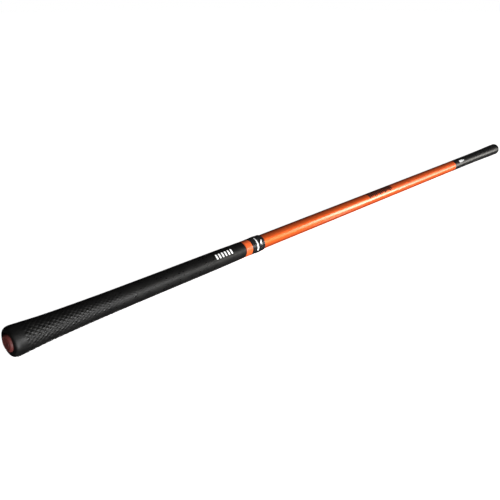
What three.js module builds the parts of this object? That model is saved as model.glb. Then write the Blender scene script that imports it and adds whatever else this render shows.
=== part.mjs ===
// Golf swing trainer stick: a long glass-fibre shaft with a flared rubber grip over its butt end, an
// orange ring and a black collar at the grip's mouth, and a steel slug under a black rubber boot at the
// far end.
//
// Millimetres. The stick lies along +X with +Z up. The origin is the centre of the flat face of the
// butt plug, and every piece is turned about the X axis.

import * as THREE from "three";

// ---------------------------------------------------------------- driving dimensions

const LENGTH = 1092; // butt plug face to tip face
const SEGMENTS = 32; // flats round every turned piece
const SEAT_GAP = 0.3; // end clearance between neighbours
const SLIP_GAP = 0.1; // radial clearance of pieces slid over or into each other

const SHAFT_RADIUS = 9.4;
const SHAFT_BORE_RADIUS = 7.2;
const SHAFT_SEAT_RADIUS = 8.9; // turned-down seat under the tip boot

const TAPE_THICKNESS = 0.2;
const GRIP_LENGTH = 309.8; // end face to mouth
const GRIP_RIM_RADIUS = 15.3; // widest section, close to the butt
const GRIP_FACE_RADIUS = 12.3; // flat ring of the end face, inside the rounded rim
const GRIP_RIM_ROUND = 5.5;
const GRIP_WAIST_RADIUS = 12; // where the flare has died away
const GRIP_MOUTH_RADIUS = 10.4;
const GRIP_CAP_THICKNESS = 4; // depth of the plug's recess in the end face

const PLUG_RADIUS = 8.9;
const PLUG_FACE_RADIUS = 6.4; // flat in the middle of the domed plug
const PLUG_DOME_HEIGHT = 2.6;
const PLUG_STEM_LENGTH = 28;
const STEM_CHAMFER = 1.5;

const BAND_LENGTH = 11.2;
const BAND_RADIUS = 10.35;
const COLLAR_LENGTH = 23;
const COLLAR_RADIUS = 10.5;
const COLLAR_BEAD_RADIUS = 10.8; // raised bead round the middle of the collar

const BOOT_LENGTH = 201;
const BOOT_LIP_RADIUS = 9.5;
const BOOT_END_RADIUS = 10.8;
const BOOT_EDGE_ROUND = 6.5;
const BOOT_END_WALL = 12;

const SLUG_LENGTH = 84;
const SLUG_RADIUS = 7;
const BUNG_LENGTH = 12;

// ---------------------------------------------------------------- stations along the axis

const GRIP_BUTT = 2.4; // the grip's end face, behind the plug's own
const GRIP_MOUTH = GRIP_BUTT + GRIP_LENGTH;
const PLUG_SEAT = GRIP_BUTT + GRIP_CAP_THICKNESS;
const SHAFT_BUTT = PLUG_SEAT;
const TAPE_START = SHAFT_BUTT + 8;
const TAPE_END = GRIP_MOUTH - 8;
const BAND_START = GRIP_MOUTH + SEAT_GAP;
const BAND_END = BAND_START + BAND_LENGTH;
const COLLAR_START = BAND_END + SEAT_GAP;
const COLLAR_END = COLLAR_START + COLLAR_LENGTH;
const BOOT_START = LENGTH - BOOT_LENGTH;
const SHAFT_END = LENGTH - BOOT_END_WALL - SEAT_GAP;

const SHAFT_SLIP = SHAFT_RADIUS + SLIP_GAP; // bore of every piece slid over the shaft
const TAPE_RADIUS = SHAFT_SLIP + TAPE_THICKNESS;
const GRIP_BORE = TAPE_RADIUS + SLIP_GAP;
const BUNG_RADIUS = SHAFT_BORE_RADIUS - SLIP_GAP;
const BOOT_BORE = SHAFT_SEAT_RADIUS + SLIP_GAP;

// ---------------------------------------------------------------- outline helpers

// An outline point is [distance along the stick, radius].

// Points on a quarter-ellipse round corner, from one outline point to the next. It leaves the first
// point along the radius when outward is true, and along the axis when it is false.
function roundCorner([x0, r0], [x1, r1], outward, steps = 6) {
  return Array.from({ length: steps + 1 }, (_, i) => {
    const turn = (Math.PI / 2) * (i / steps);
    const across = Math.sin(turn);
    const along = 1 - Math.cos(turn);
    const [fx, fr] = outward ? [along, across] : [across, along];
    return [x0 + (x1 - x0) * fx, r0 + (r1 - r0) * fr];
  });
}

// Evenly spaced points on a smooth curve through a few stations.
function smoothRun(stations, steps) {
  const curve = new THREE.SplineCurve(stations.map(([x, r]) => new THREE.Vector2(x, r)));
  return curve.getPoints(steps).map((p) => [p.x, p.y]);
}

// A solid turned about the X axis. The outline starts and ends on the axis, or is closed here. The
// flats of the polygon section touch the stated radius, and one flat faces straight down.
function turned(outline) {
  const corner = 1 / Math.cos(Math.PI / SEGMENTS);
  const points = outline.map(([x, r]) => new THREE.Vector2(r * corner, x));
  const startsOnAxis = outline[0][1] === 0;
  if (!startsOnAxis) {
    points.push(points[0].clone());
  }
  const geometry = new THREE.LatheGeometry(points, SEGMENTS, Math.PI / SEGMENTS);
  geometry.rotateZ(-Math.PI / 2);
  return geometry;
}

// A straight sleeve between two stations.
function sleeve(start, end, bore, radius) {
  return turned([[start, bore], [start, radius], [end, radius], [end, bore]]);
}

// A plain cylinder with small chamfers at both ends.
function slug(start, end, radius, chamfer) {
  return turned([
    [start, 0],
    [start, radius - chamfer],
    [start + chamfer, radius],
    [end - chamfer, radius],
    [end, radius - chamfer],
    [end, 0],
  ]);
}

// ---------------------------------------------------------------- materials

const finish = (color, roughness, metalness = 0) =>
  new THREE.MeshStandardMaterial({ color, roughness, metalness });

const gripRubber = finish(0x1e1e1c, 0.6);
const bootRubber = finish(0x0c0c0d, 0.35);
const plugPlastic = finish(0x9c3524, 0.35);
const bandPlastic = finish(0xf4622c, 0.25);
const collarPlastic = finish(0x101012, 0.3);
const shaftLacquer = finish(0xf2602a, 0.2);
const tapePaper = finish(0xcbbd9c, 0.85);
const slugSteel = finish(0x9a9ca0, 0.35, 1);
const bungRubber = finish(0x2c2a28, 0.8);

// ---------------------------------------------------------------- pieces

// Moulded rubber grip: a flat end face round the plug's recess, a rounded rim, a flare that dies away
// over the first quarter, then a long taper to the mouth. The recess is a step wider than the bore.
function gripSleeve() {
  const recess = PLUG_RADIUS + SEAT_GAP;
  const widest = GRIP_BUTT + GRIP_RIM_ROUND;
  const rim = roundCorner([GRIP_BUTT, GRIP_FACE_RADIUS], [widest, GRIP_RIM_RADIUS], true, 8);
  const body = smoothRun([
    [widest, GRIP_RIM_RADIUS],
    [GRIP_BUTT + 14.5, GRIP_RIM_RADIUS - 0.45],
    [GRIP_BUTT + 33.5, GRIP_WAIST_RADIUS + 1.7],
    [GRIP_BUTT + 56.5, GRIP_WAIST_RADIUS + 0.9],
    [GRIP_BUTT + 101.5, GRIP_WAIST_RADIUS],
    [GRIP_BUTT + 166.5, GRIP_WAIST_RADIUS - 0.5],
    [GRIP_BUTT + 226.5, GRIP_WAIST_RADIUS - 0.7],
    [GRIP_BUTT + 272.5, GRIP_WAIST_RADIUS - 1],
    [GRIP_MOUTH - 1.5, GRIP_MOUTH_RADIUS],
  ], 20);
  return turned([
    ...rim,
    ...body.slice(1),
    [GRIP_MOUTH, GRIP_MOUTH_RADIUS - 0.15],
    [GRIP_MOUTH, GRIP_BORE],
    [PLUG_SEAT, GRIP_BORE],
    [PLUG_SEAT, recess],
    [GRIP_BUTT, recess],
  ]);
}

// Domed plug: flat face, rounded edge, a flange in the grip's recess and a stem in the shaft's bore.
function buttPlug() {
  const flangeEnd = PLUG_SEAT - SEAT_GAP;
  const stemEnd = flangeEnd + PLUG_STEM_LENGTH;
  const dome = roundCorner([0, PLUG_FACE_RADIUS], [PLUG_DOME_HEIGHT, PLUG_RADIUS], true);
  return turned([
    [0, 0],
    ...dome,
    [flangeEnd, PLUG_RADIUS],
    [flangeEnd, BUNG_RADIUS],
    [stemEnd - STEM_CHAMFER, BUNG_RADIUS],
    [stemEnd, BUNG_RADIUS - STEM_CHAMFER],
    [stemEnd, 0],
  ]);
}

// One parallel tube from end to end, with a turned-down seat that the boot is pulled over.
function shaftTube() {
  return turned([
    [SHAFT_BUTT, SHAFT_BORE_RADIUS],
    [SHAFT_BUTT, SHAFT_RADIUS],
    [BOOT_START - SEAT_GAP, SHAFT_RADIUS],
    [BOOT_START - SEAT_GAP, SHAFT_SEAT_RADIUS],
    [SHAFT_END, SHAFT_SEAT_RADIUS],
    [SHAFT_END, SHAFT_BORE_RADIUS],
  ]);
}

// Black collar with a low bead round its middle and a rounded edge on the shaft side.
function collar() {
  const beadStart = COLLAR_START + COLLAR_LENGTH * 0.3;
  const beadEnd = COLLAR_START + COLLAR_LENGTH * 0.75;
  const edge = roundCorner([COLLAR_END - 1, COLLAR_RADIUS], [COLLAR_END, SHAFT_SLIP + 0.3], false, 4);
  return turned([
    [COLLAR_START, SHAFT_SLIP],
    [COLLAR_START, COLLAR_RADIUS],
    [beadStart, COLLAR_RADIUS],
    [beadStart + 2, COLLAR_BEAD_RADIUS],
    [beadEnd - 2, COLLAR_BEAD_RADIUS],
    [beadEnd, COLLAR_RADIUS],
    ...edge,
    [COLLAR_END, SHAFT_SLIP],
  ]);
}

// Blind rubber boot: a thin lip on the shaft, swelling to a rounded end with a flat face.
function tipBoot() {
  const swell = smoothRun([
    [BOOT_START, BOOT_LIP_RADIUS],
    [BOOT_START + 60, BOOT_LIP_RADIUS],
    [BOOT_START + 95, BOOT_LIP_RADIUS + 0.15],
    [BOOT_START + 145, BOOT_LIP_RADIUS + 0.75],
    [BOOT_START + 175, BOOT_END_RADIUS - 0.05],
    [LENGTH - BOOT_EDGE_ROUND, BOOT_END_RADIUS],
  ], 12);
  const end = roundCorner(swell.at(-1), [LENGTH, BOOT_END_RADIUS - BOOT_EDGE_ROUND], false);
  const floor = LENGTH - BOOT_END_WALL;
  return turned([
    [floor, 0],
    [floor, BOOT_BORE],
    [BOOT_START, BOOT_BORE],
    ...swell,
    ...end.slice(1),
    [LENGTH, 0],
  ]);
}

// ---------------------------------------------------------------- assembly

const group = new THREE.Group();

function add(name, geometry, material) {
  const mesh = new THREE.Mesh(geometry, material);
  mesh.name = name;
  group.add(mesh);
}

const bungEnd = SHAFT_END - SEAT_GAP;
const slugEnd = bungEnd - BUNG_LENGTH - SEAT_GAP;
const slugStart = slugEnd - SLUG_LENGTH;
const stopEnd = slugStart - SEAT_GAP;

add("shaft_tube", shaftTube(), shaftLacquer);
add("grip_tape", sleeve(TAPE_START, TAPE_END, SHAFT_SLIP, TAPE_RADIUS), tapePaper);
add("grip_sleeve", gripSleeve(), gripRubber);
add("butt_plug", buttPlug(), plugPlastic);
add("band_ring", sleeve(BAND_START, BAND_END, SHAFT_SLIP, BAND_RADIUS), bandPlastic);
add("collar", collar(), collarPlastic);
add("weight_stop", slug(stopEnd - BUNG_LENGTH, stopEnd, BUNG_RADIUS, 1), bungRubber);
add("tip_weight", slug(slugStart, slugEnd, SLUG_RADIUS, 1), slugSteel);
add("end_bung", slug(slugEnd + SEAT_GAP, bungEnd, BUNG_RADIUS, 1), bungRubber);
add("tip_boot", tipBoot(), bootRubber);

export default group;
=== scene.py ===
"""The looks of a golf swing trainer stick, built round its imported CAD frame.

Everything is in metres, in the CAD's own frame: the stick lies along +X with +Z up, and the middle
of its butt plug's face is the origin. Every solid piece is round about the X axis and takes its
outline from the CAD node that it replaces. The prints are thin shells that lie on those pieces.
Angles round the stick start at -Y, the side that faces the camera, and rise towards +Z.
"""

import math

import bmesh
import bpy
import numpy as np
from mathutils import Matrix, Vector

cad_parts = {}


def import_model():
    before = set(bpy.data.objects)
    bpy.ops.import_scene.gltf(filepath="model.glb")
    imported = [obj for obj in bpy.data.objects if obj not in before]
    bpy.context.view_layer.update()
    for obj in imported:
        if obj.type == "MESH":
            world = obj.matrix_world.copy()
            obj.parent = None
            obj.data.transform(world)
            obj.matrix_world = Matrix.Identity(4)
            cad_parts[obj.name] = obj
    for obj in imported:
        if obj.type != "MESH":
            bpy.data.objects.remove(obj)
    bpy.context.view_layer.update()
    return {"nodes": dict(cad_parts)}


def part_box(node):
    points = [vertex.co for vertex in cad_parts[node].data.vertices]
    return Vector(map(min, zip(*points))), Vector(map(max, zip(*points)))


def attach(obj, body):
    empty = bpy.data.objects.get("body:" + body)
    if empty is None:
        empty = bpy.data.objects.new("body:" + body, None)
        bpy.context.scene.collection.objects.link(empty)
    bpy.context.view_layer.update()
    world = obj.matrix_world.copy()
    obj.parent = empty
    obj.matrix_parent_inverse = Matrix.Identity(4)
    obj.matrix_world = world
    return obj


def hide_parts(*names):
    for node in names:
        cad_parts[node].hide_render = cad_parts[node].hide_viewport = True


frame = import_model()

MM = 0.001
CAD_FLATS = 32  # the CAD's round sections are polygons of this many flats
BODY = "root"
SLIP = 0.1 * MM  # room between a piece and what it slides over

CAMERA_PLACE = (-0.2118, -0.4973, 0.2902)
CAMERA_AZIMUTH = -47.38
CAMERA_ELEVATION = 21.89
CAMERA_LENS = 44.67  # millimetres
CAMERA_SENSOR = 36  # millimetres
CAMERA_NEAR = 0.01

SMOOTH_COLUMNS = 128  # mesh points round a smooth piece

INK_THICKNESS = 0.06 * MM
STROKE_STEP = 0.8 * MM  # mesh spacing along a printed stroke
STROKE_SPLIT = 0.5  # mesh spacing across it, in millimetres
STROKE_SHARP = 60  # degrees
NOISE_ROUGHNESS = 0.55


# ---------------------------------------------------------------- outlines from the CAD

def cad_outline(node):
    """The outer outline of a CAD node: its stations along X, and the true radius at each."""
    mesh = frame["nodes"][node].data
    co = np.array([v.co for v in mesh.vertices])
    radius = np.hypot(co[:, 1], co[:, 2]) * math.cos(math.pi / CAD_FLATS)
    station = np.round(co[:, 0], 5)
    along = np.unique(station)
    outer = np.array([radius[station == x].max() for x in along])
    return along, outer


def smooth_curve(along, radius):
    """A function that runs smoothly through outline points, with no overshoot between them."""
    rise = np.diff(radius) / np.diff(along)
    slope = np.gradient(radius, along)
    turning = rise[:-1] * rise[1:] <= 0
    slope[1:-1][turning] = 0

    def at(x):
        x = np.clip(x, along[0], along[-1])
        i = np.clip(np.searchsorted(along, x, side="right") - 1, 0, len(along) - 2)
        step = along[i + 1] - along[i]
        t = (x - along[i]) / step
        return (
            radius[i] * (1 + 2 * t) * (1 - t) ** 2
            + slope[i] * step * t * (1 - t) ** 2
            + radius[i + 1] * t * t * (3 - 2 * t)
            - slope[i + 1] * step * t * t * (1 - t)
        )

    return at


def smoothstep(x, low, high):
    t = np.clip((x - low) / (high - low), 0, 1)
    return t * t * (3 - 2 * t)


# ---------------------------------------------------------------- outline helpers

def arc(x, r, size_x, size_r, start, end, steps):
    """Points (x, radius) on part of an ellipse, from one angle to another in degrees from +X."""
    turn = np.radians(np.linspace(start, end, steps + 1))
    return [(x + size_x * math.cos(t), r + size_r * math.sin(t)) for t in turn]


def run(x0, x1, skin, spacing):
    """Points (x, radius) after x0, up to x1, on a skin curve, about spacing apart."""
    count = max(2, round(abs(x1 - x0) / spacing))
    return [(x, float(skin(x))) for x in np.linspace(x0, x1, count + 1)[1:]]


def line(a, b, steps):
    """Points after a, up to b, on a straight line."""
    return [(a[0] + (b[0] - a[0]) * i / steps, a[1] + (b[1] - a[1]) * i / steps)
            for i in range(1, steps + 1)]


# ---------------------------------------------------------------- mesh builders

def turned(name, outline, columns=SMOOTH_COLUMNS, relief=None, sharp=35):
    """A closed solid turned about X. Its outline is a loop of (x, radius), or runs axis to axis.

    relief(x, r, angles) gives a height to add at each point, and a share from 0 to 1 that is kept
    in the mesh as the attribute "relief", for the material to read.
    """
    angle = np.linspace(0, 2 * math.pi, columns, endpoint=False)
    verts, share, rows = [], [], []
    for x, r in outline:
        if r == 0:
            rows.append([len(verts)] * columns)
            verts.append((x, 0, 0))
            share.append(0)
            continue
        lift, level = relief(x, r, angle) if relief else (np.zeros(columns), np.zeros(columns))
        rows.append(list(range(len(verts), len(verts) + columns)))
        verts.extend(zip([x] * columns, -(r + lift) * np.cos(angle), (r + lift) * np.sin(angle)))
        share.extend(level)
    if outline[0][1] != 0:
        rows.append(rows[0])
    faces = []
    for low, high in zip(rows, rows[1:]):
        for i in range(columns):
            j = (i + 1) % columns
            faces.append(list(dict.fromkeys((low[i], low[j], high[j], high[i]))))
    piece = solid(name, verts, faces, sharp)
    if relief:
        layer = piece.data.attributes.new("relief", "FLOAT", "POINT")
        layer.data.foreach_set("value", np.array(share, np.float32))
    return piece


def solid(name, verts, faces, sharp):
    """A mesh object from vertices and faces, with its normals out and its hard edges kept hard."""
    mesh = bpy.data.meshes.new(name)
    mesh.from_pydata(verts, [], faces)
    shape = bmesh.new()
    shape.from_mesh(mesh)
    bmesh.ops.recalc_face_normals(shape, faces=shape.faces)
    if shape.calc_volume(signed=True) < 0:  # it can turn a ring inside out
        bmesh.ops.reverse_faces(shape, faces=shape.faces)
    shape.to_mesh(mesh)
    shape.free()
    mesh.shade_smooth()
    mesh.set_sharp_from_angle(angle=math.radians(sharp))
    piece = bpy.data.objects.new(name, mesh)
    bpy.context.scene.collection.objects.link(piece)
    return piece


def printed(name, strokes, skin, turn):
    """Thin printed strokes that lie on a round skin, as one object of closed shells.

    A stroke is (x0, t0, x1, t1, width, ...): a bar with round ends, all in millimetres. There x is
    a station along the stick, and t the distance round it from turn degrees. A second width tapers
    the bar to that width.
    """
    verts, faces = [], []
    for x0, t0, x1, t1, *widths in strokes:
        start = np.array([x0, t0]) * MM
        end = np.array([x1, t1]) * MM
        first_half = widths[0] * MM / 2
        last_half = widths[-1] * MM / 2
        length = np.linalg.norm(end - start)
        ahead = (end - start) / length
        aside = np.array([-ahead[1], ahead[0]])
        turn_out = np.linspace(0, math.pi / 2, 6)
        middle = np.linspace(0, 1, max(2, round(length / STROKE_STEP)) + 1)
        along = np.concatenate([
            -first_half * np.cos(turn_out[:-1]),
            length * middle,
            length + last_half * np.sin(turn_out[1:]),
        ])
        reach = np.concatenate([
            first_half * np.sin(turn_out[:-1]),
            first_half + (last_half - first_half) * middle,
            last_half * np.cos(turn_out[1:]),
        ])
        reach = np.maximum(reach, first_half * 0.02)  # so that no end shrinks to a point
        across = np.linspace(-1, 1, max(3, round(max(widths) / STROKE_SPLIT)) + 1)
        first = len(verts)
        for level in (INK_THICKNESS, -INK_THICKNESS / 2):
            for u, h in zip(along, reach):
                for s in across:
                    x, t = start + ahead * u + aside * s * h
                    r = float(skin(x)) + level
                    a = math.radians(turn) + t / float(skin(x))
                    verts.append((x, -r * math.cos(a), r * math.sin(a)))
        rows, columns = len(along), len(across)
        base = rows * columns

        def at(i, j, under):
            return first + under * base + i * columns + j

        for i in range(rows - 1):
            for j in range(columns - 1):
                top = [at(a, b, 0) for a, b in ((i, j), (i + 1, j), (i + 1, j + 1), (i, j + 1))]
                under = [at(a, b, 1) for a, b in ((i, j), (i, j + 1), (i + 1, j + 1), (i + 1, j))]
                faces += [top, under]
            for j in (0, columns - 1):
                faces.append((at(i, j, 0), at(i, j, 1), at(i + 1, j, 1), at(i + 1, j, 0)))
        for j in range(columns - 1):
            for i in (0, rows - 1):
                faces.append((at(i, j, 0), at(i, j + 1, 0), at(i, j + 1, 1), at(i, j, 1)))
    return solid(name, verts, faces, STROKE_SHARP)


def settle(piece, material, slot, *nodes):
    """Gives a piece its material and body, and the CAD nodes that it stands for. Its slot is not
    used.
    """
    piece.data.materials.clear()
    piece.data.materials.append(material)
    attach(piece, BODY)
    if nodes:
        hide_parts(*nodes)


# ---------------------------------------------------------------- material helpers

class Shader:
    """A Principled material whose nodes are added by short calls."""

    def __init__(self, name, color, roughness, **inputs):
        self.material = bpy.data.materials.new(name)
        self.material.use_nodes = True
        self.tree = self.material.node_tree
        self.main = self.tree.nodes["Principled BSDF"]
        self.place = self.add("ShaderNodeTexCoord").outputs["Object"]
        self.main.inputs["Base Color"].default_value = (*color, 1)
        self.main.inputs["Roughness"].default_value = roughness
        for key, value in inputs.items():
            self.main.inputs[key.replace("_", " ")].default_value = value

    def add(self, kind, **settings):
        node = self.tree.nodes.new(kind)
        for key, value in settings.items():
            setattr(node, key, value)
        return node

    def noise(self, size, stretch=(1, 1, 1), detail=3):
        """Noise with features about size metres across, drawn out along each axis by stretch."""
        mapping = self.add("ShaderNodeMapping")
        mapping.inputs["Scale"].default_value = [1 / (size * s) for s in stretch]
        self.tree.links.new(self.place, mapping.inputs["Vector"])
        noise = self.add("ShaderNodeTexNoise")
        noise.inputs["Scale"].default_value = 1
        noise.inputs["Detail"].default_value = detail
        noise.inputs["Roughness"].default_value = NOISE_ROUGHNESS
        self.tree.links.new(mapping.outputs["Vector"], noise.inputs["Vector"])
        return noise.outputs["Fac"]

    def attribute(self, name):
        return self.add("ShaderNodeAttribute", attribute_name=name).outputs["Fac"]

    def ramp(self, source, low, high, to_low, to_high):
        """Maps a value from one range to another, held at both ends."""
        node = self.add("ShaderNodeMapRange")
        self.tree.links.new(source, node.inputs["Value"])
        values = {"From Min": low, "From Max": high, "To Min": to_low, "To Max": to_high}
        for key, value in values.items():
            node.inputs[key].default_value = value
        return node.outputs["Result"]

    def plus(self, first, second):
        """The sum of two values."""
        node = self.add("ShaderNodeMath", operation="ADD")
        self.tree.links.new(first, node.inputs[0])
        self.tree.links.new(second, node.inputs[1])
        return node.outputs["Value"]

    def feed(self, color, socket):
        """Sets a socket to a plain colour, or links it to another socket's."""
        if isinstance(color, tuple):
            socket.default_value = (*color, 1)
        else:
            self.tree.links.new(color, socket)

    def blend(self, factor, first, second):
        """A colour between two colours."""
        node = self.add("ShaderNodeMix", data_type="RGBA")
        self.tree.links.new(factor, node.inputs["Factor"])
        first_in, second_in = [s for s in node.inputs if s.type == "RGBA"]
        self.feed(first, first_in)
        self.feed(second, second_in)
        return next(s for s in node.outputs if s.type == "RGBA")

    def bump(self, height, depth, strength, under=None):
        """A normal that height shapes, depth metres deep, laid over another normal if given."""
        node = self.add("ShaderNodeBump")
        node.inputs["Distance"].default_value = depth
        node.inputs["Strength"].default_value = strength
        self.tree.links.new(height, node.inputs["Height"])
        if under is not None:
            self.tree.links.new(under, node.inputs["Normal"])
        return node.outputs["Normal"]

    def finish(self, **sockets):
        """Links sockets to the shader's inputs by name, and gives the material."""
        for key, source in sockets.items():
            self.tree.links.new(source, self.main.inputs[key.replace("_", " ")])
        return self.material


# ---------------------------------------------------------------- materials

def grip_rubber():
    """Black grip rubber: matt grooves painted darker as shade, crowns polished by hands, light
    patches of dust, and a fine moulded grain.
    """
    s = Shader("grip_rubber", (0.004, 0.004, 0.004), 0.5, Specular_IOR_Level=0.3)
    crown = s.attribute("relief")
    dust = s.noise(7 * MM, (2, 1, 1), detail=4)
    # Painted shade: the colour runs from a darker black in the grooves to the crowns' black, by the
    # relief share, which also dims the less polished crowns at random and the plain rubber at both
    # ends.
    groove_shade, top = (0.0012, 0.0012, 0.0012), (0.004, 0.004, 0.0038)
    base = s.blend(s.ramp(crown, 0.1, 0.9, 0, 1), groove_shade, top)
    tint = s.blend(s.ramp(dust, 0.45, 0.8, 0, 0.6), base, (0.009, 0.0088, 0.0082))
    polish = s.ramp(crown, 0.25, 0.95, 0.5, 0.16)
    patches = s.ramp(s.noise(5 * MM, (1.5, 1, 1)), 0.3, 0.7, -0.06, 0.1)
    grain = s.bump(s.noise(0.3 * MM, detail=2), 0.03 * MM, 0.5)
    return s.finish(Base_Color=tint, Roughness=s.plus(polish, patches), Normal=grain)


def boot_rubber():
    """Smooth black rubber with a semi-gloss skin, faint dip marks and light handling scuffs."""
    s = Shader("boot_rubber", (0.008, 0.008, 0.009), 0.3)
    skin = s.noise(5 * MM, (2.5, 1, 1), detail=2)
    scuff = s.noise(1.2 * MM, (4, 1, 1), detail=4)
    clean, scuffed = (0.0035, 0.0035, 0.004), (0.012, 0.012, 0.012)
    tint = s.blend(s.ramp(scuff, 0.5, 0.8, 0, 0.6), clean, scuffed)
    rough = s.ramp(scuff, 0.4, 0.8, 0.26, 0.46)
    wave = s.bump(skin, 0.05 * MM, 0.5)
    return s.finish(Base_Color=tint, Roughness=rough, Normal=s.bump(scuff, 0.008 * MM, 0.5, wave))


def shaft_lacquer():
    """Pearl orange lacquer under a clear coat, with faint long streaks and fine flake."""
    s = Shader(
        "shaft_lacquer", (0.9, 0.13, 0.02), 0.55,
        Metallic=0.85, Coat_Weight=1.0, Coat_Roughness=0.15,
    )
    streak = s.noise(1.6 * MM, (60, 1, 1), detail=3)
    flake = s.noise(0.22 * MM, detail=1)
    depth = s.noise(30 * MM, (4, 1, 1), detail=2)
    base = s.blend(s.ramp(streak, 0.35, 0.7, 0, 1), (0.9, 0.135, 0.019), (0.82, 0.112, 0.015))
    tint = s.blend(s.ramp(depth, 0.4, 0.7, 0, 0.5), base, (0.94, 0.155, 0.024))
    rough = s.ramp(flake, 0.3, 0.7, 0.47, 0.63)
    peel = s.bump(s.noise(3 * MM, (2, 1, 1), detail=1), 0.004 * MM, 0.5)
    sparkle = s.bump(flake, 0.008 * MM, 0.4)
    return s.finish(Base_Color=tint, Roughness=rough, Normal=sparkle, Coat_Normal=peel)


def moulded_plastic(name, color, deep, roughness, coat):
    """Moulded plastic: soft flow marks in the colour, and light scuffs that dull the gloss."""
    s = Shader(name, color, roughness, Coat_Weight=coat, Coat_Roughness=0.1)
    flow = s.noise(5 * MM, (1, 1.6, 1), detail=3)
    scuff = s.noise(0.7 * MM, (5, 1, 1), detail=4)
    tint = s.blend(s.ramp(flow, 0.35, 0.7, 0, 1), color, deep)
    rough = s.ramp(scuff, 0.45, 0.75, roughness, roughness + 0.18)
    return s.finish(Base_Color=tint, Roughness=rough, Normal=s.bump(flow, 0.03 * MM, 0.4))


def print_ink(name, color, worn):
    """Screen-printed ink: thin, slightly uneven and a little worn."""
    s = Shader(name, color, 0.4)
    wear = s.noise(0.6 * MM, detail=4)
    tint = s.blend(s.ramp(wear, 0.5, 0.8, 0, 1), color, worn)
    return s.finish(Base_Color=tint, Roughness=s.ramp(wear, 0.3, 0.8, 0.32, 0.55))


def bar_steel():
    """Bar steel with fine rings from the lathe."""
    s = Shader("slug_steel", (0.55, 0.56, 0.58), 0.34, Metallic=1.0)
    rings = s.noise(0.3 * MM, (1, 60, 60), detail=2)
    rough = s.ramp(rings, 0.3, 0.7, 0.24, 0.44)
    return s.finish(Roughness=rough, Normal=s.bump(rings, 0.01 * MM, 0.6))


def crepe_tape():
    """Double-sided crepe paper tape with its creases across the stick, painted darker in their
    hollows as shade.
    """
    s = Shader("tape", (0.58, 0.5, 0.34), 0.85)
    crease_and_shade = s.noise(0.7 * MM, (0.6, 4, 4), detail=3)
    # Painted shade: darker where the creases' bump is low.
    tint = s.blend(crease_and_shade, (0.5, 0.42, 0.27), (0.66, 0.58, 0.42))
    return s.finish(Base_Color=tint, Normal=s.bump(crease_and_shade, 0.05 * MM, 0.6))


def bung_rubber():
    """Dull dark rubber with a coarse, dusty grain."""
    s = Shader("bung_rubber", (0.03, 0.028, 0.026), 0.8)
    grain = s.noise(0.8 * MM, detail=4)
    tint = s.blend(s.ramp(grain, 0.4, 0.7, 0, 1), (0.02, 0.019, 0.018), (0.05, 0.047, 0.043))
    return s.finish(Base_Color=tint, Normal=s.bump(grain, 0.08 * MM, 0.6))


# ---------------------------------------------------------------- grip

CELLS_AROUND = 20
CELL_LENGTH = 6 * MM
SAMPLES = 10  # mesh points across a cell, both ways
RELIEF_BUTT = 0.65 * MM
RELIEF_MOUTH = 0.15 * MM
# This share also sets how far the plain rubber's colour is painted towards the grooves' shade.
PLAIN_POLISH = 0.3  # of the plain rubber at both ends, on the crowns' scale from 0 to 1
WEAVE_START = 10 * MM  # from the grip's end face
WEAVE_END = 50 * MM  # before its mouth
FADE_IN = 4 * MM
FADE_OUT = 6 * MM
RELIEF_FALL = (0.02, 0.17)  # the stations between which the relief falls to the mouth's
SKIN_LEVEL = 0.8  # the height on the braid's scale that lies on the CAD's outline
RECESS_GAP = 0.3 * MM  # round the plug
BORE_MARGIN = 0.3 * MM  # outline points this close to the bore get no relief


def weave(along, around):
    """A moulded braid at a place counted in cells: its height, from 0 in the grooves to 1 on the
    crowns, and how polished each crown is, a fixed random share for each."""
    u = along + around
    v = along - around
    cell_u = np.floor(u + 1e-6)
    cell_v = np.floor(v + 1e-6)
    over = (cell_u + cell_v) % 2 == 0
    fu = u - cell_u
    fv = v - cell_v
    across = np.where(over, fv, fu)
    down = np.where(over, fu, fv)
    crown = np.clip(1 - (2 * across - 1) ** 2, 0, 1) ** 0.7
    arch = np.clip(1 - np.abs(2 * down - 1) ** 3, 0, 1) ** 0.7
    seat = (cell_u + cell_v, (cell_u - cell_v) % (2 * CELLS_AROUND))
    chance = np.modf(np.abs(np.sin(seat[0] * 12.9898 + seat[1] * 78.233)) * 43758.5453)[0]
    height = crown * arch * np.where(over, 1.0, 0.8)
    return height * (0.86 + 0.14 * chance), height * (0.5 + 0.5 * chance**1.5)


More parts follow.
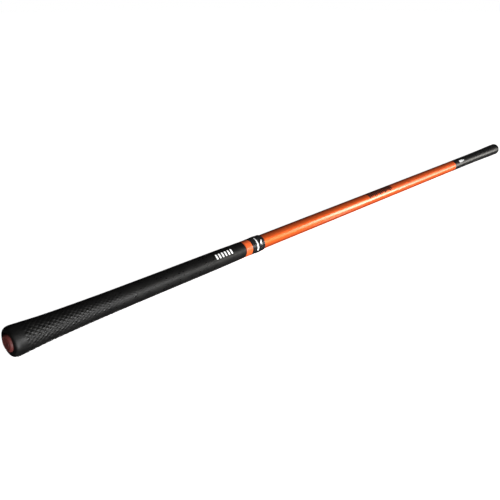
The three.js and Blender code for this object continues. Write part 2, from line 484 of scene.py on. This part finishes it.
def grip():
    """Grip: a rounded flared end with the plug's recess, a braided hold and a plain soft mouth."""
    along, radius = cad_outline("grip_sleeve")
    skin = smooth_curve(along, radius)
    butt, mouth = along[0], along[-1]
    widest = along[np.argmax(radius)]
    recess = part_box("butt_plug")[1].z + RECESS_GAP
    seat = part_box("shaft_tube")[0].x
    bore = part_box("grip_tape")[1].z + SLIP
    start = butt + WEAVE_START
    cells = round((mouth - WEAVE_END - start) / CELL_LENGTH)
    end = start + cells * CELL_LENGTH

    def relief(x, r, angle):
        if r < bore + BORE_MARGIN or x <= start or x >= end:
            return np.zeros(len(angle)), np.full(len(angle), PLAIN_POLISH)
        fade = smoothstep(x, start, start + FADE_IN) * (1 - smoothstep(x, end - FADE_OUT, end))
        depth = RELIEF_BUTT + (RELIEF_MOUTH - RELIEF_BUTT) * smoothstep(x, *RELIEF_FALL)
        height, polish = weave((x - start) / CELL_LENGTH, CELLS_AROUND * angle / (2 * math.pi))
        return fade * depth * (height - SKIN_LEVEL), PLAIN_POLISH + fade * (polish - PLAIN_POLISH)

    face = radius[0]
    rim = arc(widest, face, butt - widest, radius.max() - face, 0, 90, 14)
    lip = 1.1 * MM
    inset = 0.4 * MM
    outline = (
        [(butt, recess + inset), (butt, (recess + face) / 2)]
        + rim
        + run(widest, start, skin, 0.6 * MM)
        + run(start, end, skin, CELL_LENGTH / SAMPLES)
        + run(end, mouth - lip, skin, 1.5 * MM)
        + arc(mouth - lip, float(skin(mouth - lip)) - lip, lip, lip, 90, 0, 6)[1:]
        + [(mouth, bore), (seat, bore), (seat, recess)]
        + arc(butt + inset, recess + inset, -inset, -inset, 90, 0, 4)[:-1]
    )
    piece = turned("grip_body", outline, CELLS_AROUND * SAMPLES, relief, sharp=50)
    settle(piece, grip_rubber(), "grip_rubber", "grip_sleeve")


def plug():
    """Domed butt plug: a shallow dished face inside a fine ring, with a moulding gate mark."""
    along, radius = cad_outline("butt_plug")
    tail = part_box("butt_plug")[1].x
    widest = radius.max()
    flange_end = along[radius > 0.9 * widest].max()
    stem = radius[-2]
    face = radius[0]
    dome = along[np.argmax(radius)]
    dish = 0.1 * MM
    edge = 0.2 * MM
    chamfer = 1.5 * MM
    outline = (
        [(0.35 * MM, 0), (0.35 * MM, 0.9 * MM), (0.12 * MM, 1.2 * MM), (dish, 1.5 * MM)]
        + line((dish, 1.5 * MM), (dish, face - 1.4 * MM), 4)
        + arc(dish, face - 0.9 * MM, 0.25 * MM, -0.5 * MM, 90, -90, 8)[1:]
        + [(0.03 * MM, face - edge)]
        + arc(dome, face, -dome, widest - face, 0, 90, 16)
        + [(flange_end - edge, widest), (flange_end, widest - edge), (flange_end, stem)]
        + [(tail - chamfer, stem), (tail, stem - chamfer), (tail, 0)]
    )
    piece = turned("plug_body", outline)
    # Painted shade: a deep red that stands for the band's orange plastic in the shade that the
    # butt's end face is in.
    plastic = moulded_plastic("plug_plastic", (0.1, 0.017, 0.014), (0.07, 0.012, 0.01), 0.6, 0.0)
    settle(piece, plastic, "plug_plastic", "butt_plug")


def rounded_ring(node, bore, fillet):
    """The outline of a plain ring with rounded outer edges."""
    low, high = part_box(node)
    r = high.z
    return (
        [(low.x, bore)]
        + arc(low.x + fillet, r - fillet, fillet, fillet, 180, 90, 6)
        + line((low.x + fillet, r), (high.x - fillet, r), 8)[:-1]
        + arc(high.x - fillet, r - fillet, fillet, fillet, 90, 0, 6)
        + [(high.x, bore)]
    )


def band(bore):
    """The plain orange ring at the grip's mouth."""
    piece = turned("band_body", rounded_ring("band_ring", bore, 0.9 * MM))
    plastic = moulded_plastic("band_plastic", (0.7, 0.11, 0.024), (0.62, 0.09, 0.019), 0.3, 0.7)
    settle(piece, plastic, "band_plastic", "band_ring")


def collar(bore):
    """The collar, swollen to its bead and rounded off at the shaft. Gives its skin curve."""
    along, radius = cad_outline("collar")
    skin = smooth_curve(along, radius)
    low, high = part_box("collar")
    fillet = 0.5 * MM
    end = 1.2 * MM
    drop = 0.8 * MM
    tail = float(skin(high.x - end))
    outline = (
        [(low.x, bore)]
        + arc(low.x + fillet, radius[0] - fillet, fillet, fillet, 180, 90, 6)
        + run(low.x + fillet, high.x - end, skin, 0.5 * MM)
        + arc(high.x - end, tail - drop, end, drop, 90, 0, 8)[1:]
        + [(high.x, bore)]
    )
    piece = turned("collar_body", outline)
    color, deep = (0.008, 0.008, 0.009), (0.012, 0.012, 0.012)
    plastic = moulded_plastic("collar_plastic", color, deep, 0.2, 0.6)
    settle(piece, plastic, "collar_plastic", "collar")
    return skin


def shaft():
    """The shaft: one bare length, then the thinner seat that the boot covers."""
    low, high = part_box("shaft_tube")
    along, radius = cad_outline("shaft_tube")
    tube = radius.max()
    seat = radius[-1]
    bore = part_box("weight_stop")[1].z + SLIP
    step = along[radius > 0.99 * tube].max()
    edge = 0.3 * MM
    outline = (
        [(low.x, bore), (low.x, tube - edge)]
        + [(low.x + edge, tube)]
        + line((low.x + edge, tube), (step - edge, tube), 120)
        + [(step, tube - edge), (step, seat)]
        + line((step, seat), (high.x - edge, seat), 20)
        + [(high.x, seat - edge), (high.x, bore)]
    )
    piece = turned("shaft_body", outline)
    settle(piece, shaft_lacquer(), "shaft_lacquer", "shaft_tube")


def boot():
    """Tip boot: a thin rolled lip, a long swell and a rounded end with a gate mark in its face.
    Gives its skin curve."""
    along, radius = cad_outline("tip_boot")
    start, end = along[0], along[-1]
    corner = along[radius > radius.max() - SLIP].max()
    round_off = end - corner
    straight = along <= corner
    skin = smooth_curve(along[straight], radius[straight])
    shaft_along, shaft_radius = cad_outline("shaft_tube")
    inner = shaft_radius[-1] + SLIP
    floor = shaft_along[-1] + 3 * SLIP
    lip = 0.35 * MM
    tip = float(skin(corner))
    outline = (
        [(floor, 0), (floor, inner), (start, inner)]
        + arc(start + lip, float(skin(start)) - lip, lip, lip, 180, 90, 4)[1:]
        + run(start + lip, corner, skin, 2 * MM)
        + arc(corner, tip - round_off, round_off, round_off, 90, 0, 18)[1:]
        + line((end, tip - round_off), (end, 1.6 * MM), 4)
        + [(end - 0.3 * MM, 1.3 * MM), (end - 0.3 * MM, 0)]
    )
    piece = turned("boot_body", outline)
    settle(piece, boot_rubber(), "boot_rubber", "tip_boot")
    return skin


# ---------------------------------------------------------------- printed marks

# Lengths are in millimetres here, and turns in degrees round the stick.
GRIP_PRINT_BEFORE_MOUTH = 37.8
GRIP_PRINT_TURN = 46
GRIP_BAR_PITCH = 5
COLLAR_PRINT_TURN = 20
SHAFT_PRINT_STATION = 630
SHAFT_PRINT_TURN = 77
SHAFT_BAR_PITCH = 4.9
TIP_PRINT_STATION = 918
TIP_PRINT_TURN = 44


def marks(collar_skin, boot_skin):
    """Plain generic prints: equal bars on the grip, two strokes on the collar, a row of bars on the
    shaft, and a pill and a dot on the boot."""
    white = print_ink("white_ink", (0.86, 0.87, 0.87), (0.6, 0.6, 0.6))
    dark = print_ink("dark_ink", (0.004, 0.002, 0.002), (0.014, 0.004, 0.003))
    grip_along, grip_radius = cad_outline("grip_sleeve")
    grip_skin = smooth_curve(grip_along, grip_radius)
    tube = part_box("shaft_tube")[1].z
    mouth = grip_along[-1] / MM

    def shifted(strokes, x):
        """The same strokes, moved along the stick."""
        return [(x + a, t0, x + b, t1, *widths) for a, t0, b, t1, *widths in strokes]

    places = [GRIP_BAR_PITCH * i - 12.3 for i in range(6)]
    bars = [(x, -2.2, x, 2.2, 2.4) for x in places]
    bars = shifted(bars, mouth - GRIP_PRINT_BEFORE_MOUTH)
    settle(printed("grip_mark", bars, grip_skin, GRIP_PRINT_TURN), white, "grip_rubber")

    lines = [(8.8, -6.5, 8.8, 10.5, 2.6, 1.3), (14.6, 1, 16.8, 4, 2)]
    lines = shifted(lines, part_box("collar")[0].x / MM)
    settle(printed("collar_mark", lines, collar_skin, COLLAR_PRINT_TURN), white, "collar_plastic")

    places = [SHAFT_BAR_PITCH * i - 32 for i in range(14)]
    graded = [(x, i % 3 - 5.8, x, 3.6, 4) for i, x in enumerate(places)]
    graded = shifted(graded, SHAFT_PRINT_STATION)
    piece = printed("shaft_mark", graded, lambda x: tube, SHAFT_PRINT_TURN)
    settle(piece, dark, "shaft_lacquer")

    pill = shifted([(-7, 0, 3, 0, 4.6), (8, 0, 8.6, 0, 3)], TIP_PRINT_STATION)
    piece = printed("tip_mark", pill, boot_skin, TIP_PRINT_TURN)
    settle(piece, print_ink("tip_ink", (0.5, 0.51, 0.52), (0.3, 0.3, 0.3)), "boot_rubber")


shaft_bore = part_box("shaft_tube")[1].z + SLIP
grip()
plug()
band(shaft_bore)
collar_skin = collar(shaft_bore)
shaft()
boot_skin = boot()
marks(collar_skin, boot_skin)

for node, material in (
    ("grip_tape", crepe_tape()),
    ("tip_weight", bar_steel()),
    ("weight_stop", bung_rubber()),
    ("end_bung", bung_rubber()),
):
    for slot in frame["nodes"][node].material_slots:
        slot.material = material


# ---------------------------------------------------------------- stage

FLOOR_HALF = 14
RIM_TOUCH = 7 * MM  # from the grip's end face to where its rim meets the floor
BOOT_TOUCH = 10 * MM  # from the boot's end to where it meets the floor
WHITE = (1, 1, 1)
WARM = (1, 0.95, 0.84)
FRONT = -1.5  # the Y of the strip lamps on the camera's side
BEHIND = 1.5


def camera():
    data = bpy.data.cameras.new("camera")
    data.lens = CAMERA_LENS
    data.sensor_width = CAMERA_SENSOR
    data.clip_start = CAMERA_NEAR
    eye = bpy.data.objects.new("camera", data)
    azimuth = math.radians(CAMERA_AZIMUTH)
    elevation = math.radians(CAMERA_ELEVATION)
    look = Vector((
        -math.sin(azimuth) * math.cos(elevation),
        math.cos(azimuth) * math.cos(elevation),
        -math.sin(elevation),
    ))
    eye.location = CAMERA_PLACE
    eye.rotation_euler = look.to_track_quat("-Z", "Y").to_euler()
    bpy.context.scene.collection.objects.link(eye)
    bpy.context.scene.camera = eye


def floor():
    """A wide white floor that touches the grip's rim and the boot's end, where the stick rests.

    It glows plain white and neither lights, shades nor mirrors in the stick, so the light round the
    stick is the studio's alone. From below it can be seen through.
    """
    grip_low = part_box("grip_sleeve")[0]
    boot_low, boot_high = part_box("tip_boot")
    near = Vector((grip_low.x + RIM_TOUCH, 0, grip_low.z))
    far = Vector((boot_high.x - BOOT_TOUCH, 0, boot_low.z))
    slope = math.atan2(far.z - near.z, far.x - near.x)
    mesh = bpy.data.meshes.new("floor")
    corners = [(x * FLOOR_HALF, y * FLOOR_HALF, 0) for x, y in ((-1, -1), (1, -1), (1, 1), (-1, 1))]
    mesh.from_pydata(corners, [], [(0, 1, 2, 3)])
    ground = bpy.data.objects.new("floor", mesh)
    ground.location = near
    ground.rotation_euler = (0, -slope, 0)
    ground.visible_glossy = False
    ground.visible_diffuse = False
    ground.visible_shadow = False
    bpy.context.scene.collection.objects.link(ground)
    material = bpy.data.materials.new("floor")
    material.use_nodes = True
    shader = material.node_tree.nodes["Principled BSDF"]
    shader.inputs["Base Color"].default_value = (0.9, 0.9, 0.9, 1)
    shader.inputs["Roughness"].default_value = 1
    shader.inputs["Specular IOR Level"].default_value = 0
    shader.inputs["Emission Color"].default_value = (1, 1, 1, 1)
    shader.inputs["Emission Strength"].default_value = 1
    tree = material.node_tree
    side = tree.nodes.new("ShaderNodeNewGeometry")
    clear = tree.nodes.new("ShaderNodeBsdfTransparent")
    mix = tree.nodes.new("ShaderNodeMixShader")
    tree.links.new(side.outputs["Backfacing"], mix.inputs["Fac"])
    tree.links.new(shader.outputs["BSDF"], mix.inputs[1])
    tree.links.new(clear.outputs["BSDF"], mix.inputs[2])
    tree.links.new(mix.outputs["Shader"], tree.nodes["Material Output"].inputs["Surface"])
    mesh.materials.append(material)


def lamp_object(name, light, place, toward):
    """Puts a light in the scene, facing a direction and unseen by the camera."""
    piece = bpy.data.objects.new(name, light)
    piece.location = place
    piece.rotation_euler = Vector(toward).to_track_quat("-Z", "Y").to_euler()
    piece.visible_camera = False
    bpy.context.scene.collection.objects.link(piece)
    return piece


def sun(name, source, strength, spread):
    """A far lamp that shines from the direction source, evenly all along the stick. Its spread is
    the angle that it fills, in degrees."""
    light = bpy.data.lights.new(name, "SUN")
    light.energy = strength
    light.angle = math.radians(spread)
    return lamp_object(name, light, source, -Vector(source))


def softbox(name, start, end, height, radiance, color=WHITE, side=FRONT):
    """A strip lamp that faces the stick, from one (x, z) to another at Y side.

    radiance sets how bright its face is, whatever its size.
    """
    start, end = (Vector((x, side, z)) for x, z in (start, end))
    middle = (start + end) / 2
    light = bpy.data.lights.new(name, "AREA")
    light.shape = "RECTANGLE"
    light.size = (end - start).length
    light.size_y = height
    light.energy = radiance * math.pi * light.size * light.size_y
    light.color = color
    lamp = lamp_object(name, light, middle, -middle)
    along = (end - start).normalized()
    back = Vector((0, middle.y, middle.z))
    back = (back - back.project(along)).normalized()
    lamp.rotation_euler = Matrix((along, back.cross(along), back)).transposed().to_euler()


def world():
    """A dim surround, a little lighter overhead, that is white to the camera itself."""
    sky = bpy.data.worlds.new("world")
    sky.use_nodes = True
    tree = sky.node_tree
    back = tree.nodes["Background"]
    coordinate = tree.nodes.new("ShaderNodeTexCoord")
    split = tree.nodes.new("ShaderNodeSeparateXYZ")
    height = tree.nodes.new("ShaderNodeMapRange")
    path = tree.nodes.new("ShaderNodeLightPath")
    top = tree.nodes.new("ShaderNodeMath")
    top.operation = "MAXIMUM"
    tree.links.new(coordinate.outputs["Generated"], split.inputs["Vector"])
    tree.links.new(split.outputs["Z"], height.inputs["Value"])
    height.inputs["From Min"].default_value = 0.3
    height.inputs["From Max"].default_value = 1
    height.inputs["To Min"].default_value = 0.02
    height.inputs["To Max"].default_value = 0.08
    tree.links.new(height.outputs["Result"], top.inputs[0])
    tree.links.new(path.outputs["Is Camera Ray"], top.inputs[1])
    tree.links.new(top.outputs["Value"], back.inputs["Strength"])
    back.inputs["Color"].default_value = (1, 1, 1, 1)
    bpy.context.scene.world = sky


camera()
floor()
world()
sun("key", (-0.3, -0.95, -0.1), strength=4.8, spread=12)
sun("back", (0.15, 0.97, -0.6), strength=6, spread=30).visible_glossy = False
softbox("butt_box", (0.2, 0.2), (0.9, 0.2), height=0.5, radiance=18)
softbox("grip_box", (0.9, 0.2), (1.75, 0.2), height=0.5, radiance=3)
softbox("shaft_box", (1.95, 0), (5.2, 0), height=0.7, radiance=2.3)
softbox("streak_box", (2.35, 0), (3, 0.3), height=1.3, radiance=10, color=WARM)
softbox("far_box", (3, 0.25), (3.9, 0.15), height=1.9, radiance=1.6, color=WARM)
softbox("low_box", (2.75, -1), (3.9, -2.4), height=0.4, radiance=5, color=WARM)
softbox("back_box", (0.2, -1.2), (2, -1.2), height=0.8, radiance=7, side=BEHIND)
bpy.context.scene.view_settings.view_transform = "Standard"
